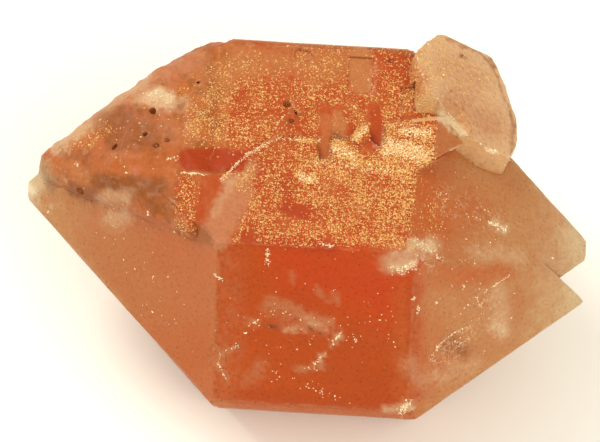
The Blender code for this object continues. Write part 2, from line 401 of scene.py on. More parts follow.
def ramp(tree, value, low, high, start=0.0, finish=1.0):
    """The start value below low, the finish value above high, smooth between."""
    inputs = {"Value": value, "From Min": low, "From Max": high, "To Min": start, "To Max": finish}
    return node(tree, "ShaderNodeMapRange", inputs, interpolation_type="SMOOTHSTEP").outputs["Result"]


def blend(tree, share, under, over):
    """The over colour laid on the under colour by this share."""
    mixed = node(tree, "ShaderNodeMix", {"Factor": share}, data_type="RGBA")
    for index, value in ((6, under), (7, over)):
        if isinstance(value, bpy.types.NodeSocket):
            tree.links.new(value, mixed.inputs[index])
        else:
            mixed.inputs[index].default_value = value
    return mixed.outputs[2]


def patches_group():
    """Cloudy patches: a noise cut between two levels."""
    tree, given, result = group_shell(
        "cloudy_patches",
        {
            "Place": ("NodeSocketVector", None),
            "Scale": ("NodeSocketFloat", 1.0),
            "Detail": ("NodeSocketFloat", 3.0),
            "Low": ("NodeSocketFloat", 0.4),
            "High": ("NodeSocketFloat", 0.6),
        },
        {"Mask": "NodeSocketFloat"},
    )
    look = {"Vector": given["Place"], "Scale": given["Scale"], "Detail": given["Detail"]}
    clouds = node(tree, "ShaderNodeTexNoise", look)
    tree.links.new(ramp(tree, clouds.outputs["Fac"], given["Low"], given["High"]), result["Mask"])
    return tree


def specks_group():
    """Tiny specks: the middles of a share of small random cells."""
    tree, given, result = group_shell(
        "tiny_specks",
        {
            "Place": ("NodeSocketVector", None),
            "Scale": ("NodeSocketFloat", 4.0),
            "Amount": ("NodeSocketFloat", 0.3),
            "Size": ("NodeSocketFloat", 0.45),
        },
        {"Mask": "NodeSocketFloat"},
    )
    cells = node(tree, "ShaderNodeTexVoronoi", {"Vector": given["Place"], "Scale": given["Scale"]})
    chance = node(tree, "ShaderNodeSeparateColor", {"Color": cells.outputs["Color"]})
    picked = math_of(tree, "LESS_THAN", chance.outputs["Red"], given["Amount"])
    size = math_of(tree, "MULTIPLY", given["Size"], math_of(tree, "ADD", chance.outputs["Green"], 0.4))
    inside = math_of(tree, "LESS_THAN", cells.outputs["Distance"], size)
    tree.links.new(math_of(tree, "MULTIPLY", picked, inside), result["Mask"])
    return tree


def wisps_group():
    """Thin feathery lines, where a noise crosses its middle."""
    tree, given, result = group_shell(
        "white_wisps",
        {
            "Place": ("NodeSocketVector", None),
            "Scale": ("NodeSocketFloat", 0.4),
            "Width": ("NodeSocketFloat", 0.02),
        },
        {"Mask": "NodeSocketFloat"},
    )
    look = {"Vector": given["Place"], "Scale": given["Scale"], "Detail": 3.0, "Distortion": 0.6}
    noise = node(tree, "ShaderNodeTexNoise", look)
    off = math_of(tree, "ABSOLUTE", math_of(tree, "SUBTRACT", noise.outputs["Fac"], 0.5))
    line = math_of(tree, "SUBTRACT", 1.0, math_of(tree, "DIVIDE", off, given["Width"]), clamp=True)
    tree.links.new(line, result["Mask"])
    return tree


def use(tree, group, **inputs):
    """Places a node group, with its inputs given by name."""
    placed = node(tree, "ShaderNodeGroup", node_tree=group)
    for name, value in inputs.items():
        socket = placed.inputs[name]
        if isinstance(value, bpy.types.NodeSocket):
            tree.links.new(value, socket)
        else:
            socket.default_value = value
    return placed.outputs["Mask"]


def new_material(name):
    """A material, its shader, and its place socket in millimetres from the crystal's middle."""
    material = bpy.data.materials.new(name)
    material.use_nodes = True
    tree = material.node_tree
    shader = tree.nodes["Principled BSDF"]
    coordinates = node(tree, "ShaderNodeTexCoord").outputs["Object"]
    to_mm = node(tree, "ShaderNodeMapping", {"Vector": coordinates, "Scale": (1 / MM,) * 3})
    to_mm.inputs["Location"].default_value = tuple(-MIDDLE / MM)
    return material, tree, shader, to_mm.outputs["Vector"]


# Colours, as they show in daylight on white paper
TONES = {
    "deep": paint(182, 76, 26),
    "scarlet": paint(208, 80, 30),
    "window": paint(198, 90, 40),
    "ember": paint(200, 106, 58),
    "red": paint(188, 84, 42),
    "amber": paint(196, 112, 66),
    "orange": paint(198, 126, 78),
    "tan": paint(203, 146, 96),
    "rose": paint(202, 132, 92),
    "peach": paint(234, 184, 132),
    "moss": paint(190, 158, 116),
    "brown": paint(156, 94, 56),
    "dark": paint(112, 62, 32),
    "veil": paint(222, 180, 138),
    "frost": paint(238, 212, 168),
    "cream": paint(255, 238, 200),
    # gold and copper: the glitter flecks' tones, partly their own colour and partly painted sparkle
    "gold": paint(240, 206, 136),
    "copper": paint(206, 132, 62),
    # tip: pale tone that paints the light shining through the crystal's thin ends
    "tip": paint(224, 194, 150),
}

# Body colour along the crystal, as tones at millimetres from its middle; the pale tip tones at both ends are
# painted light shining through the thin ends
BODY_TONES = (
    (-24.5, "tip"), (-22.5, "tan"), (-18.5, "orange"), (-14.0, "amber"), (-6.0, "ember"),
    (8.0, "ember"), (12.0, "orange"), (18.0, "tan"), (24.5, "tip"),
)
BODY_LENGTH = 50.0

# Soft marks, each from one place in the picture to another with a half width, all in pixels of the
# 600 by 442 picture, and then its strength and how soft its edge is
MARKS = {
    "bright heart of the window": ("scarlet", (300, 262), (385, 292), 30, 0.8, 1.8),
    "duller left part of the window": ("rose", (228, 262), (228, 398), 14, 0.25, 1.8),
    "duller right edge of the window": ("ember", (402, 290), (404, 398), 9, 0.5, 1.5),
    "dull foot of the window": ("red", (240, 396), (390, 404), 10, 0.6, 1.5),
    "red past the window": ("red", (416, 290), (414, 392), 7, 0.6, 1.8),
    "red under the chip": ("ember", (440, 282), (505, 268), 10, 0.7, 1.6),
    "red right of the glitter": ("ember", (434, 232), (426, 176), 14, 0.8, 1.6),
    "amber in the right face": ("ember", (452, 216), (500, 196), 18, 0.5, 1.8),
    "tan cloud in the upper right face": ("tan", (470, 165), (520, 215), 14, 0.5, 1.8),
    "tan cloud in the lower right face": ("tan", (440, 300), (470, 325), 18, 0.5, 1.8),
    "brown past the veils": ("orange", (515, 300), (500, 335), 12, 0.6, 1.6),
    "cloud over the left face": ("orange", (110, 240), (150, 300), 22, 0.5, 1.8),
    # Painted light: a pale rim where light shines through the thin edge of the left face
    "pale rim of the left face": ("tan", (46, 220), (120, 306), 6, 0.6, 1.6),
    "moss behind the tip": ("moss", (40, 168), (48, 180), 10, 0.7, 1.6),
    # Painted light: the pale, cream left tip is light shining through its thin end
    "cream left tip": ("tip", (22, 188), (34, 182), 11, 0.9, 1.4),
    "left tip's very end": ("cream", (25, 189), (29, 190), 5, 0.9, 1.0),
    "shadow near the tip": ("brown", (50, 180), (53, 188), 5, 0.5, 1.6),
    # Painted light: the pale rims along the shoulder's outline are light shining through its thin edge
    "pale rim of the shoulder": ("veil", (56, 148), (98, 117), 7, 0.8, 1.6),
    "pale rim higher up": ("rose", (98, 117), (146, 82), 7, 0.7, 1.6),
    "pale rim at the top": ("rose", (146, 80), (200, 60), 10, 0.9, 1.6),
    "veil on the rim": ("veil", (104, 108), (150, 78), 4, 0.6, 1.6),
    # Painted highlight: a whitish patch of light on the shoulder, spreading paler beside it
    "painted highlight on the shoulder": ("frost", (152, 95), (168, 98), 7, 0.9, 1.5),
    "painted highlight spreading beside it": ("veil", (140, 98), (182, 104), 8, 0.6, 1.8),
    "rosy lumps": ("rose", (150, 128), (186, 132), 12, 0.6, 1.8),
    "brown mottling": ("brown", (110, 122), (146, 130), 14, 0.7, 1.8),
    "brown mottling lower down": ("brown", (112, 142), (150, 143), 8, 0.6, 1.8),
    "smooth orange band": ("amber", (98, 166), (178, 162), 9, 0.9, 1.0),
    "amber corner": ("orange", (70, 168), (92, 184), 9, 0.8, 1.6),
    # Painted light and shade on the slope at the foot of the overgrowth: the dark band and dark corner are
    # painted shade, the whitish patches painted light
    "dark brown band": ("brown", (100, 182), (160, 187), 9, 0.95, 1.2),
    "dark corner": ("brown", (76, 190), (90, 196), 8, 0.8, 1.4),
    "whitish patch": ("veil", (105, 198), (128, 196), 7, 0.6, 1.6),
    "whitish patch lower down": ("veil", (112, 220), (122, 216), 9, 0.6, 1.6),
    "brown fall": ("brown", (140, 196), (180, 204), 9, 0.4, 1.8),
    "red bit under the band": ("red", (186, 186), (194, 222), 11, 0.9, 1.0),
    "pink smooth patch": ("rose", (238, 194), (216, 234), 16, 0.95, 0.7),
    "pale streak in the pink patch": ("veil", (228, 190), (214, 214), 4, 0.4, 1.6),
    "dark foot of the red bit": ("brown", (196, 228), (208, 241), 6, 0.7, 1.2),
    "pink slope": ("veil", (230, 180), (254, 166), 7, 0.5, 1.4),
    "dark red band": ("deep", (190, 159), (236, 161), 12, 1.0, 0.4),
    "brown back edge": ("brown", (300, 44), (414, 52), 4, 0.5, 1.0),
    "tan back part": ("orange", (250, 60), (340, 64), 17, 0.8, 1.8),
    "tan back left": ("orange", (205, 84), (240, 62), 15, 0.8, 1.8),
    "red back right": ("red", (394, 62), (412, 82), 14, 0.7, 1.4),
    "pale rectangle": ("orange", (361, 56), (361, 84), 11, 1.0, 0.3),
    "first bare column": ("amber", (325, 118), (325, 156), 6, 1.0, 0.3),
    "second bare column": ("red", (376, 112), (376, 146), 7, 1.0, 0.3),
    "bare notch": ("orange", (339, 116), (340, 134), 7, 0.9, 0.4),
    "bare red beside the notch": ("red", (351, 116), (353, 130), 5, 0.9, 0.6),
    "first pit": ("dark", (286, 104), (289, 105), 3, 0.6, 1.0),
    "second pit": ("dark", (294, 112), (299, 112), 2, 0.7, 1.0),
    "third pit": ("brown", (288, 121), (293, 122), 4, 0.6, 1.0),
    # Painted shade: dark lines at the foot of the notch and of the triangle, where the glitter plate steps
    # down
    "dark rim of the notch": ("dark", (334, 138), (352, 137), 2.5, 0.6, 1.0),
    "dark foot of the triangle": ("dark", (356, 142), (368, 143), 2, 0.6, 1.0),
    "bare red patch": ("deep", (286, 206), (303, 210), 9, 0.9, 1.2),
    "red above the window": ("deep", (248, 236), (330, 246), 8, 0.8, 1.2),
    "red in the left of the glitter": ("deep", (262, 160), (284, 190), 11, 0.6, 1.6),
    # Painted shade: a darker red line where the top steps down to the right face
    "red line at the glitter's end": ("deep", (413, 168), (407, 228), 2.5, 1.0, 0.6),
    "veil on the corner": ("veil", (390, 262), (430, 246), 10, 0.6, 1.6),
    "white chip on the corner": ("frost", (396, 268), (412, 264), 5, 0.6, 1.6),
    "white crest of the corner": ("frost", (412, 242), (430, 247), 5, 0.6, 1.6),
    "feather": ("rose", (268, 310), (326, 326), 8, 0.45, 1.8),
    "feather's upper lobe": ("rose", (270, 302), (298, 308), 5, 0.6, 1.2),
    "feather's wing": ("veil", (302, 316), (326, 330), 3, 0.5, 1.4),
    "feather's tip": ("rose", (318, 318), (331, 322), 3.5, 0.8, 1.2),
    "feather's foot": ("veil", (284, 328), (304, 330), 3, 0.5, 1.2),
    "gash": ("dark", (308, 326), (320, 334), 1.5, 0.8, 0.8),
    "left gash": ("dark", (270, 328), (280, 325), 2, 0.7, 1.0),
    "first faint veil": ("rose", (321, 290), (325, 302), 3, 0.6, 1.2),
    "second faint veil": ("rose", (334, 291), (337, 303), 3, 0.6, 1.2),
    "faint veil at the top": ("rose", (290, 272), (292, 280), 4, 0.5, 1.2),
    "ragged flecks": ("veil", (331, 346), (341, 334), 3, 0.7, 1.2),
    "ragged flecks lower down": ("veil", (316, 363), (325, 354), 3, 0.7, 1.2),
    "faint foot of the flecks": ("rose", (298, 368), (322, 368), 4, 0.7, 1.4),
    "chip's upper lip": ("rose", (217, 356), (238, 346), 3, 0.6, 1.4),
    "chip's lower lip": ("rose", (217, 362), (226, 378), 4, 0.6, 1.4),
    "chip's dark grain": ("dark", (236, 346), (241, 343), 2, 0.7, 1.0),
    "chip's faint cloud": ("rose", (250, 380), (262, 366), 7, 0.5, 1.6),
    "left flecks": ("rose", (248, 324), (258, 320), 4, 0.7, 1.4),
    "pale foot": ("veil", (384, 409), (412, 408), 4, 0.7, 1.2),
    "veil on the right": ("veil", (499, 294), (502, 332), 9, 0.55, 1.8),
    "veil's core": ("frost", (494, 328), (503, 330), 5, 0.5, 1.6),
    "veil at the lower right": ("veil", (438, 378), (476, 364), 8, 0.4, 1.8),
    "veil beside the window": ("veil", (408, 364), (420, 380), 8, 0.3, 1.8),
    "veil over the ridge": ("veil", (476, 252), (520, 258), 8, 0.5, 1.8),
    "dark hollow": ("brown", (450, 342), (464, 352), 8, 0.6, 1.6),
    "bright veil": ("frost", (494, 222), (505, 229), 4, 0.6, 1.4),
    # Painted light: the cream right and lower tips are light shining through their thin ends
    "cream right tip": ("tip", (574, 238), (586, 254), 14, 0.8, 1.8),
    "cream lower tip": ("tip", (574, 294), (584, 300), 9, 0.8, 1.8),
    # Painted light: a pale rim where light shines through the thin lower edge
    "pale lower rim": ("tan", (506, 354), (425, 411), 6, 0.6, 1.6),
    "orange part of the side crystal": ("orange", (455, 100), (492, 128), 15, 0.6, 1.8),
    "speckled part of the side crystal": ("orange", (446, 66), (480, 80), 12, 0.4, 1.8),
    "pale ledge": ("frost", (442, 116), (462, 133), 5, 0.8, 1.2),
    # Painted shade: a dark thin rim along the side crystal's outer edge
    "outer rim of the side crystal": ("brown", (447, 37), (490, 58), 1.6, 0.6, 1.0),
    "outer rim further down": ("brown", (490, 58), (515, 124), 1.6, 0.6, 1.0),
    "rim at the foot of the side crystal": ("brown", (515, 124), (510, 156), 2, 0.5, 1.0),
    "hole in the side crystal": ("dark", (461, 58), (461, 58), 2, 0.8, 1.0),
    "pit in the back": ("dark", (391, 62), (391, 62), 2, 0.8, 1.0),
}
WARP = 4.0
FAINTEST = 0.01
TINT_LAYERS = {"Red": "tint_red", "Green": "tint_green", "Blue": "tint_blue"}

# Small round brown marks on the shoulder: across, down and half width in pixels
SHOULDER_PITS = (
    (153, 114, 3), (146, 134, 3), (156, 144, 3), (167, 140, 3), (116, 147, 4), (190, 82, 4),
    (181, 107, 4), (211, 85, 4), (123, 108, 4), (124, 118, 3), (137, 104, 3), (199, 92, 4),
)

# White grains, strewn along lines in the picture: half width, how thickly, and the places, in pixels. Some
# lines are white flecks and chips; others are painted highlights and glints, as said at each
GRAIN_AND_HIGHLIGHT_LINES = {
    "densest glitter": (9.0, 0.9, ((388, 147), (424, 154))),
    "densest glitter above it": (6.0, 0.6, ((402, 131), (429, 134))),
    "dense glitter under the notch": (5.0, 0.7, ((333, 148), (352, 156))),
    "dense glitter at the left": (4.5, 0.7, ((299, 176), (313, 181))),
    "triangle": (2.5, 0.7, ((355, 139), (361, 134), (367, 128))),
    "glitter row": (5.0, 0.16, ((318, 163), (350, 166), (400, 172))),
    # Painted highlight: white grains along the ridge's crest, which faces the light
    "ridge": (1.8, 0.9, ((222, 178), (236, 165), (248, 154), (262, 146))),
    "end of the ridge": (1.6, 0.5, ((262, 146), (280, 138), (298, 140), (318, 141))),
    "side line": (1.2, 0.5, ((276, 127), (284, 116))),
    # Painted highlight: a thin line of white grains along the side crystal's lit left edge
    "edge of the side crystal": (
        0.7, 0.35, ((417, 51), (418, 60), (426, 86), (438, 100), (464, 132), (485, 148), (508, 159)),
    ),
    # Painted highlight: white grains along the start of the ridge's lit crest
    "white line under the band": (1.2, 1.2, ((182, 173), (194, 173), (207, 175))),
    "white point of the band": (1.6, 0.4, ((168, 159), (180, 156))),
    "white fleck on the window": (2.4, 0.7, ((268, 251), (267, 263))),
    "white fleck at the top of the window": (1.6, 0.7, ((321, 244), (327, 245), (333, 247))),
    "white fleck at the left of the window": (1.4, 0.7, ((213, 274), (221, 279))),
    "ragged flecks": (1.8, 0.4, ((331, 346), (335, 340), (341, 333))),
    "ragged flecks lower down": (2.0, 0.35, ((314, 365), (325, 354))),
    "foot of the flecks": (1.4, 0.25, ((304, 369), (316, 370))),
    "dot": (1.2, 1.0, ((355, 338), (356, 341))),
    "chip's lip": (1.4, 0.25, ((238, 346), (220, 353), (218, 364), (226, 378))),
    "white chip at the foot": (3.6, 0.9, ((399, 413), (409, 403))),
    "white chip on the corner": (4.0, 0.3, ((392, 268), (404, 271), (414, 263))),
    "crest of the corner": (3.0, 0.25, ((414, 240), (424, 244), (440, 258))),
    "first fleck on the right": (1.6, 1.0, ((412, 300), (416, 298))),
    "second fleck on the right": (1.5, 1.0, ((418, 306), (419, 311))),
    "third fleck on the right": (1.2, 0.8, ((435, 301), (437, 303))),
    # Partly painted light: a golden inclusion line, laid as white grains that also paint its glint
    "glinting inclusion line": (0.9, 0.8, ((485, 292), (498, 283), (510, 275))),
    "second scratch": (0.8, 0.6, ((476, 296), (480, 306), (484, 300))),
    # Partly painted light: a ragged inclusion line, laid as white grains that also paint its glint
    "ragged glinting inclusion line": (1.6, 0.4, ((432, 358), (438, 346), (452, 334), (466, 328))),
    "bright veil": (2.4, 0.5, ((490, 222), (505, 229))),
    "strewn specks": (13.0, 0.012, ((446, 196), (470, 212), (500, 232))),
    "more strewn specks": (12.0, 0.012, ((480, 296), (470, 330), (440, 360))),
    "dot near the tip": (1.3, 1.0, ((551, 258), (553, 258))),
    # Painted highlight: a glint, laid as a spot of white grains
    "painted glint": (2.2, 1.2, ((487, 150), (497, 152))),
    "dot beside it": (1.4, 0.8, ((504, 165), (505, 166))),
    "speck on the side crystal": (1.3, 1.0, ((429, 45), (430, 45))),
    "speck on the left face": (1.6, 1.2, ((148, 211), (148, 215))),
    "second speck on the left face": (1.2, 1.0, ((173, 231), (174, 231))),
    "speck on the shoulder": (1.4, 1.0, ((77, 163), (78, 166))),
    "speck near the tip": (1.2, 0.8, ((48, 211), (48, 212))),
    # Painted highlight: white grains where light catches the shoulder
    "painted highlight on the shoulder": (6.0, 0.2, ((148, 96), (168, 97))),
    "left flecks": (3.0, 0.2, ((250, 324), (258, 320))),
    "crumbs on the window": (40.0, 0.006, ((240, 320), (380, 325))),
    "crumbs on the foot of the window": (8.0, 0.03, ((280, 375), (340, 398))),
    "crumbs on the left face": (34.0, 0.004, ((110, 230), (190, 330))),
    "crumbs on the right faces": (36.0, 0.007, ((450, 190), (480, 330))),
    "crumbs on the shoulder": (30.0, 0.008, ((90, 160), (180, 110))),
}

# Where fine bright curls lie thickly: from, to, half width and strength, in pixels
CURLS = (
    ((448, 200), (500, 226), 17, 0.3),
    ((436, 362), (468, 332), 11, 0.5),
    ((482, 300), (500, 330), 12, 0.35),
    ((400, 240), (430, 262), 13, 0.4),
)


# Painting


def paint_marks(crystal):
    """Lays the soft marks over the crystal, as a tint at each vertex and how much it covers there."""
    mesh = crystal.data
    points = points_of(mesh)
    wander = np.array([tuple(noise.noise_vector(point * 0.9) + noise.noise_vector(point * 2.1) * 0.6)
                       for point in map(Vector, points)])
    places = picture_places(points)
    seen = np.clip((normals_of(mesh) @ np.array(CAMERA_BACK) - 0.05) / 0.1, 0.0, 1.0)
    tint = np.tile(np.array(TONES["amber"]) * FAINTEST, (len(points), 1))
    spots = [("brown", (across, down), (across, down), half_width, 0.55, 1.2)
             for across, down, half_width in SHOULDER_PITS]
    for tone, start, end, half_width, strength, soft in [*MARKS.values(), *spots]:
        torn = places + wander[:, :2] * WARP * min(soft, 1.0)
        share = (strength * seen * near_line(torn, start, end, half_width, soft))[:, None]
        tint = tint * (1.0 - share) + np.array(TONES[tone]) * share
    shown = tint / tint[:, 3:]
    layers = dict(zip(TINT_LAYERS.values(), shown.T))
    layers["covered"] = tint[:, 3]
    for name, values in layers.items():
        attribute = mesh.attributes.new(name, "FLOAT", "POINT")
        attribute.data.foreach_set("value", np.ascontiguousarray(values))


def mark_curls(crystal):
    mesh = crystal.data
    places = picture_places(points_of(mesh))
    thick = np.zeros(len(places))
    for start, end, half_width, strength in CURLS:
        thick = np.maximum(thick, strength * near_line(places, start, end, half_width, 1.2))
    attribute = mesh.attributes.new("curls", "FLOAT", "POINT")
    attribute.data.foreach_set("value", thick)


def kind_mask(tree, *names):
    """A socket that is 1 on these kinds of face and 0 elsewhere."""
    kind = node(tree, "ShaderNodeAttribute", attribute_name="kind").outputs["Fac"]
    masks = [math_of(tree, "COMPARE", kind, float(FACE_KINDS.index(name)), 0.4) for name in names]
    total = masks[0]
    for mask in masks[1:]:
        total = math_of(tree, "ADD", total, mask)
    return total


def body_colour(tree, place, wander):
    """The tone along the crystal, paling at both ends with painted light shining through the thin tips, with
    its bounds wandering.
    """
    along = node(tree, "ShaderNodeMapping", {"Vector": place, "Location": (0.5, 0, 0)})
    along.inputs["Scale"].default_value = (1 / BODY_LENGTH, 1.0, 1.0)
    share = node(tree, "ShaderNodeTexGradient", {"Vector": along.outputs[0]}).outputs["Fac"]
    stripes = node(tree, "ShaderNodeValToRGB", {"Fac": math_of(tree, "MULTIPLY_ADD", wander, 0.14, share)})
    stops = stripes.color_ramp.elements
    while len(stops) < len(BODY_TONES):
        stops.new(0.5)
    for stop, (middle, tone) in zip(stops, BODY_TONES):
        stop.position = middle / BODY_LENGTH + 0.5
    for stop, (middle, tone) in zip(stops, BODY_TONES):
        stop.color = TONES[tone]
    return stripes.outputs["Color"]


def face_colours(tree, groups, place, wander, broad):
    """The ground colour of every kind of face, before its marks."""
    colour = body_colour(tree, place, wander)
    colour = blend(tree, math_of(tree, "MULTIPLY", broad, 0.3), colour, TONES["rose"])
    window = blend(tree, math_of(tree, "MULTIPLY", broad, 0.5), TONES["window"], TONES["red"])
    colour = blend(tree, kind_mask(tree, "window"), colour, window)
    colour = blend(tree, kind_mask(tree, "strip"), colour, TONES["amber"])
    side = blend(tree, math_of(tree, "MULTIPLY", broad, 0.5), TONES["peach"], TONES["veil"])
    colour = blend(tree, kind_mask(tree, "side"), colour, side)
    haze = use(tree, groups["patches"], Place=place, Scale=0.5, Detail=5.0, Low=0.42, High=0.7)
    ground = blend(tree, math_of(tree, "MULTIPLY", haze, 0.6), TONES["red"], TONES["amber"])
    colour = blend(tree, kind_mask(tree, "top", "bank"), colour, ground)
    lumps = use(tree, groups["patches"], Place=place, Scale=0.7, Detail=6.0, Low=0.45, High=0.66)
    shoulder = blend(tree, math_of(tree, "MULTIPLY", lumps, 0.75), TONES["amber"], TONES["brown"])
    return blend(tree, kind_mask(tree, "rough"), colour, shoulder)


def torn_share(tree, place):
    """How much of the marks shows: what the vertices hold, broken up where it is partial."""
    covered = node(tree, "ShaderNodeAttribute", attribute_name="covered").outputs["Fac"]
    partial = math_of(tree, "MULTIPLY", covered, math_of(tree, "SUBTRACT", 1.0, covered))
    grain = node(tree, "ShaderNodeTexNoise", {"Vector": place, "Scale": 2.2, "Detail": 5.0}).outputs["Fac"]
    lift = math_of(tree, "MULTIPLY", math_of(tree, "SUBTRACT", grain, 0.5), 6.0)
    return math_of(tree, "MULTIPLY_ADD", partial, lift, covered, clamp=True)


def sprinkled(tree, groups, place, colour):
    """The colour with glitter specks, whose gold is partly painted sparkle, and fine curls."""
    glitter = node(tree, "ShaderNodeAttribute", attribute_name="glitter").outputs["Fac"]
    specks = use(tree, groups["specks"], Place=place, Scale=6.0, Amount=glitter, Size=0.5)
    colour = blend(tree, math_of(tree, "MULTIPLY", specks, 0.7), colour, TONES["gold"])
    thick = node(tree, "ShaderNodeAttribute", attribute_name="curls").outputs["Fac"]
    curls = use(tree, groups["wisps"], Place=place, Scale=1.1, Width=0.02)
    return blend(tree, math_of(tree, "MULTIPLY", curls, thick), colour, TONES["cream"])


def quartz_material(groups):
    material, tree, shader, place = new_material("strawberry_quartz")
    fine = node(tree, "ShaderNodeTexNoise", {"Vector": place, "Scale": 3.5, "Detail": 4.0}).outputs["Fac"]
    ragged = node(tree, "ShaderNodeTexNoise", {"Vector": place, "Scale": 1.1, "Detail": 5.0}).outputs["Fac"]
    wander = math_of(tree, "SUBTRACT", ragged, 0.5)
    broad = use(tree, groups["patches"], Place=place, Scale=0.16, Detail=4.0, Low=0.35, High=0.65)
    colour = face_colours(tree, groups, place, wander, broad)
    parts = {
        socket: node(tree, "ShaderNodeAttribute", attribute_name=layer).outputs["Fac"]
        for socket, layer in TINT_LAYERS.items()
    }
    tint = node(tree, "ShaderNodeCombineColor", parts).outputs["Color"]
    colour = blend(tree, torn_share(tree, place), colour, tint)
    worn = node(tree, "ShaderNodeAttribute", attribute_name="worn").outputs["Fac"]
    worn = math_of(tree, "MULTIPLY", math_of(tree, "MULTIPLY", worn, ramp(tree, ragged, 0.4, 0.6)), 0.2)
    colour = blend(tree, worn, colour, TONES["veil"])
    colour = sprinkled(tree, groups, place, colour)
    value = ramp(tree, fine, 0.25, 0.75, 0.9, 1.1)
    mottled = node(tree, "ShaderNodeHueSaturation", {"Color": colour, "Value": value})
    tree.links.new(mottled.outputs[0], shader.inputs["Base Color"])

    rough = math_of(tree, "MULTIPLY_ADD", kind_mask(tree, "rough"), 0.2, 0.24)
    rough = math_of(tree, "MULTIPLY_ADD", kind_mask(tree, "top", "bank"), 0.2, rough)
    rough = math_of(tree, "MULTIPLY_ADD", fine, 0.1, rough)
    tree.links.new(rough, shader.inputs["Roughness"])
    shader.inputs["Transmission Weight"].default_value = 0.25
    shader.inputs["IOR"].default_value = 1.544
    shader.inputs["Specular IOR Level"].default_value = 0.12
    absorb = node(tree, "ShaderNodeVolumeAbsorption", {"Color": (1.0, 0.55, 0.35, 1.0), "Density": 35.0})
    tree.links.new(absorb.outputs[0], tree.nodes["Material Output"].inputs["Volume"])
    bump = node(tree, "ShaderNodeBump", {"Height": fine, "Strength": 0.08, "Distance": 0.0001})
    tree.links.new(bump.outputs[0], shader.inputs["Normal"])
    return material


def fleck_material(groups, name, bright, dull):
    material, tree, shader, place = new_material(name)
    tone = use(tree, groups["patches"], Place=place, Scale=7.0, Detail=1.0, Low=0.38, High=0.62)
    colour = blend(tree, tone, bright, dull)
    tree.links.new(colour, shader.inputs["Base Color"])
    shader.inputs["Roughness"].default_value = 0.35
    return material


# Glitter: from, to, half width in pixels, and how thickly the flecks lie there
GLITTER = (
    ((240, 112), (410, 88), 44, 0.15),
    ((305, 172), (398, 214), 34, 0.27),
    ((268, 190), (300, 226), 24, 0.22),
    ((214, 118), (250, 132), 26, 0.2),
    ((392, 146), (420, 156), 13, 1.0),
    ((405, 128), (428, 134), 10, 0.6),
    ((336, 146), (350, 156), 8, 0.9),
    ((301, 176), (310, 180), 7, 0.9),
    ((299, 146), (302, 172), 4, 0.5),
    ((300, 140), (318, 142), 3, 0.8),
    ((356, 136), (365, 130), 5, 0.9),
    ((345, 160), (410, 172), 9, 0.75),
    ((312, 168), (345, 172), 8, 0.55),
    ((404, 170), (400, 222), 12, 0.5),
    ((360, 190), (395, 225), 18, 0.45),
    ((310, 195), (350, 225), 18, 0.36),
    ((262, 160), (290, 165), 12, 0.26),
    ((255, 200), (262, 225), 10, 0.36),
    ((250, 172), (242, 186), 7, 0.5),
    ((300, 226), (400, 240), 9, 0.4),
    ((262, 236), (300, 232), 7, 0.28),
    ((200, 128), (258, 132), 15, 0.36),
    ((215, 100), (262, 96), 14, 0.26),
    ((215, 78), (250, 66), 12, 0.2),
    ((300, 90), (345, 98), 13, 0.26),
    ((300, 62), (335, 60), 12, 0.16),
    ((312, 118), (314, 136), 8, 0.3),
    ((395, 96), (425, 104), 18, 0.34),
    ((380, 62), (410, 76), 12, 0.14),
    ((356, 110), (362, 122), 8, 0.3),
    ((384, 116), (396, 136), 9, 0.4),
    ((424, 176), (424, 216), 7, 0.16),
    ((186, 184), (186, 226), 9, 0.22),
    ((236, 238), (250, 216), 5, 0.3),
    ((80, 140), (102, 130), 9, 0.14),
    ((186, 96), (196, 110), 10, 0.12),
    ((448, 66), (484, 82), 13, 0.04),
    ((226, 174), (246, 158), 4, 0.7),
)
BARE_PLACES = (
    ((325, 112), (325, 152), 7, 0.95),
    ((376, 108), (376, 142), 7, 0.95),
    ((361, 52), (361, 86), 11, 0.9),
    ((338, 112), (340, 134), 7, 0.85),
    ((404, 118), (412, 119), 4, 0.8),
    ((286, 206), (302, 212), 8, 0.85),
    ((232, 200), (220, 234), 14, 0.95),
    ((190, 160), (236, 162), 12, 0.97),
    ((290, 114), (294, 126), 7, 0.8),
    ((426, 176), (418, 236), 9, 0.85),
    ((446, 108), (446, 164), 11, 1.0),
    ((440, 90), (446, 108), 8, 0.8),
    ((240, 262), (400, 266), 17, 1.0),
)


def glitter_density(points, normals):
    """How thickly flecks lie at each place: by the picture where it shows, and thinly elsewhere."""
    places = picture_places(points)
    density = np.zeros(len(points))
    for start, end, half_width, strength in GLITTER:
        density = np.maximum(density, strength * near_line(places, start, end, half_width, 1.2))
    for start, end, half_width, strength in BARE_PLACES:
        density *= 1.0 - strength * near_line(places, start, end, half_width, 0.4)
    seen = (normals @ np.array(CAMERA_BACK)) > 0.2
    clumps = [noise.noise(point * 0.9) + 0.7 * noise.noise(point * 2.3) for point in map(Vector, points)]
    return density * seen * np.clip(1.0 + np.array(clumps), 0.2, 2.0) + STRAY_FLECKS


def mark_glitter(crystal):
    mesh = crystal.data
    density = glitter_density(points_of(mesh), normals_of(mesh))
    attribute = mesh.attributes.new("glitter", "FLOAT", "POINT")
    attribute.data.foreach_set("value", density * 0.4)


def one_fleck():
    """One fleck: a three-sided pointed grain, modelled once."""
    bpy.ops.object.select_all(action="DESELECT")
    bpy.ops.mesh.primitive_cone_add(vertices=3, radius1=1.0, radius2=0.0, depth=1.0, location=(0, 0, 0.3))
    fleck = bpy.context.object
    points = np.array([tuple(fleck.matrix_world @ vertex.co) for vertex in fleck.data.vertices])
    faces = [tuple(polygon.vertices) for polygon in fleck.data.polygons]
    bpy.data.objects.remove(fleck, do_unlink=True)
    return points, faces


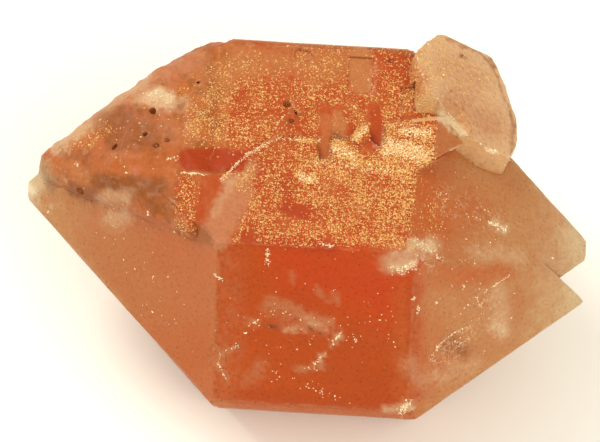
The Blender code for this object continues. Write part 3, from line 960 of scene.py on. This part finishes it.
def strewn_over(crystal, draw):
    """Places and directions for the flecks of the glitter, picked by how thickly they lie."""
    mesh = crystal.data
    middles = np.array([tuple(polygon.center) for polygon in mesh.polygons])
    normals = np.array([tuple(polygon.normal) for polygon in mesh.polygons])
    areas = np.array([polygon.area for polygon in mesh.polygons])
    chance = areas * glitter_density((middles - np.array(MIDDLE)) / MM, normals)
    picked = draw.choice(len(areas), FLECK_COUNT, p=chance / chance.sum())
    spread = np.sqrt(areas[picked])[:, None] * draw.uniform(-0.6, 0.6, (FLECK_COUNT, 3))
    up = normals[picked]
    spread -= up * (spread * up).sum(axis=1)[:, None]
    return middles[picked] + spread, up


def strewn_along_lines(crystal, draw):
    """Places and directions for the white grains and painted highlights, laid along their lines in the
    picture.
    """
    mesh = crystal.data
    corners = [vertex.co for vertex in mesh.vertices]
    surface = BVHTree.FromPolygons(corners, [tuple(polygon.vertices) for polygon in mesh.polygons])
    places = []
    up = []
    for half_width, thickness, route in GRAIN_AND_HIGHLIGHT_LINES.values():
        for start, end in zip(route, route[1:]):
            length = math.dist(start, end) + half_width
            for _ in range(round(length * half_width * 2 * thickness)):
                share = draw.uniform(-0.1, 1.1)
                across = start[0] + (end[0] - start[0]) * share + draw.normal(0, half_width * 0.5)
                down = start[1] + (end[1] - start[1]) * share + draw.normal(0, half_width * 0.5)
                place, normal = seen_at(surface, across, down)
                places.append(tuple(MIDDLE + place * MM))
                up.append(tuple(normal))
    return np.array(places), np.array(up)


def fleck_piece(name, places, up, size, draw, material):
    """Copies of the fleck at these places, each with its own size, turn and tilt."""
    count = len(places)
    up = up + draw.normal(0.0, 0.2, up.shape)
    up /= np.linalg.norm(up, axis=1)[:, None]
    across = np.cross(up, draw.normal(size=up.shape))
    across /= np.linalg.norm(across, axis=1)[:, None]
    along = np.cross(up, across)
    size = size * MM * draw.lognormal(0.0, 0.35, count)
    stretch = draw.uniform(0.7, 1.4, count)
    shape, faces = one_fleck()
    points = (
        places[:, None]
        + across[:, None] * (shape[None, :, 0, None] * (size * stretch)[:, None, None])
        + along[:, None] * (shape[None, :, 1, None] * (size / stretch)[:, None, None])
        + up[:, None] * (shape[None, :, 2, None] * (size * FLECK_HEIGHT)[:, None, None])
    )
    all_faces = [[corner + copy * len(shape) for corner in face] for copy in range(count) for face in faces]
    mesh = bpy.data.meshes.new(name)
    mesh.from_pydata(points.reshape(-1, 3).tolist(), [], all_faces)
    mesh.materials.append(material)
    flecks = bpy.data.objects.new(name, mesh)
    bpy.context.scene.collection.objects.link(flecks)
    return flecks


# Floor, light and camera


def floor():
    bpy.ops.object.select_all(action="DESELECT")
    bpy.ops.mesh.primitive_plane_add(size=2.0)
    paper = bpy.context.object
    paper.name = "paper"
    material = bpy.data.materials.new("white_paper")
    material.use_nodes = True
    shader = material.node_tree.nodes["Principled BSDF"]
    shader.inputs["Base Color"].default_value = (0.94, 0.93, 0.86, 1.0)
    shader.inputs["Roughness"].default_value = 0.9
    paper.data.materials.append(material)


def area_light(name, direction, away, size, power, colour):
    light = bpy.data.lights.new(name, "AREA")
    light.shape = "DISK"
    light.size = size
    light.energy = power
    light.color = colour
    lamp = bpy.data.objects.new(name, light)
    lamp.location = MIDDLE + Vector(direction).normalized() * away
    lamp.rotation_euler = Vector(direction).to_track_quat("Z", "Y").to_euler()
    bpy.context.scene.collection.objects.link(lamp)


def light_scene():
    world = bpy.data.worlds.new("soft_room")
    world.use_nodes = True
    background = world.node_tree.nodes["Background"]
    background.inputs["Color"].default_value = (1.0, 0.97, 0.89, 1.0)
    background.inputs["Strength"].default_value = 0.76
    bpy.context.scene.world = world
    area_light("key", (-0.55, 0.35, 0.76), 0.9, 0.5, 5.2, (1.0, 0.96, 0.88))
    area_light("fill", (0.5, -0.7, 0.9), 0.9, 0.7, 4.0, (1.0, 0.96, 0.88))
    bpy.context.scene.view_settings.view_transform = "Standard"


def place_camera():
    camera = bpy.data.cameras.new("camera")
    camera.sensor_width = SENSOR_WIDTH
    camera.lens = FOCAL_PIXELS / IMAGE_WIDTH * SENSOR_WIDTH
    camera.clip_start = 0.01
    view = bpy.data.objects.new("camera", camera)
    view.location = CAMERA_PLACE
    view.rotation_euler = CAMERA_BACK.to_track_quat("Z", "Y").to_euler()
    bpy.context.scene.collection.objects.link(view)
    bpy.context.scene.camera = view


def main():
    place_camera()
    light_scene()
    floor()
    groups = {"patches": patches_group(), "specks": specks_group(), "wisps": wisps_group()}
    crystal = merged_copy()
    cut_into_cells(crystal)
    mark_kinds(crystal)
    split_cells(crystal)
    wear_edges(crystal)
    soften_shoulder(crystal)
    roughen(crystal)
    mark_glitter(crystal)
    mark_curls(crystal)
    paint_marks(crystal)
    crystal.data.materials.append(quartz_material(groups))
    work_on(crystal)
    bpy.ops.object.shade_smooth_by_angle(angle=math.radians(24))
    draw = np.random.default_rng(FLECK_SEED)
    # Glitter flecks: real flakes, with their sparkle partly painted into their gold colour
    gold = fleck_material(groups, "gold_flecks_and_sparkle", TONES["gold"], TONES["copper"])
    flecks = fleck_piece("flecks", *strewn_over(crystal, draw), FLECK_SIZE, draw, gold)
    # White grains: partly real flecks and chips, partly painted highlights and glints
    white = fleck_material(groups, "white_grains_and_highlights", TONES["cream"], TONES["frost"])
    grains_and_highlights = fleck_piece("grains_and_highlights", *strewn_along_lines(crystal, draw), GRAIN_SIZE, draw, white)
    for piece in (crystal, flecks, grains_and_highlights):
        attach(piece, "root")
    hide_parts("quartz_crystal")


main()
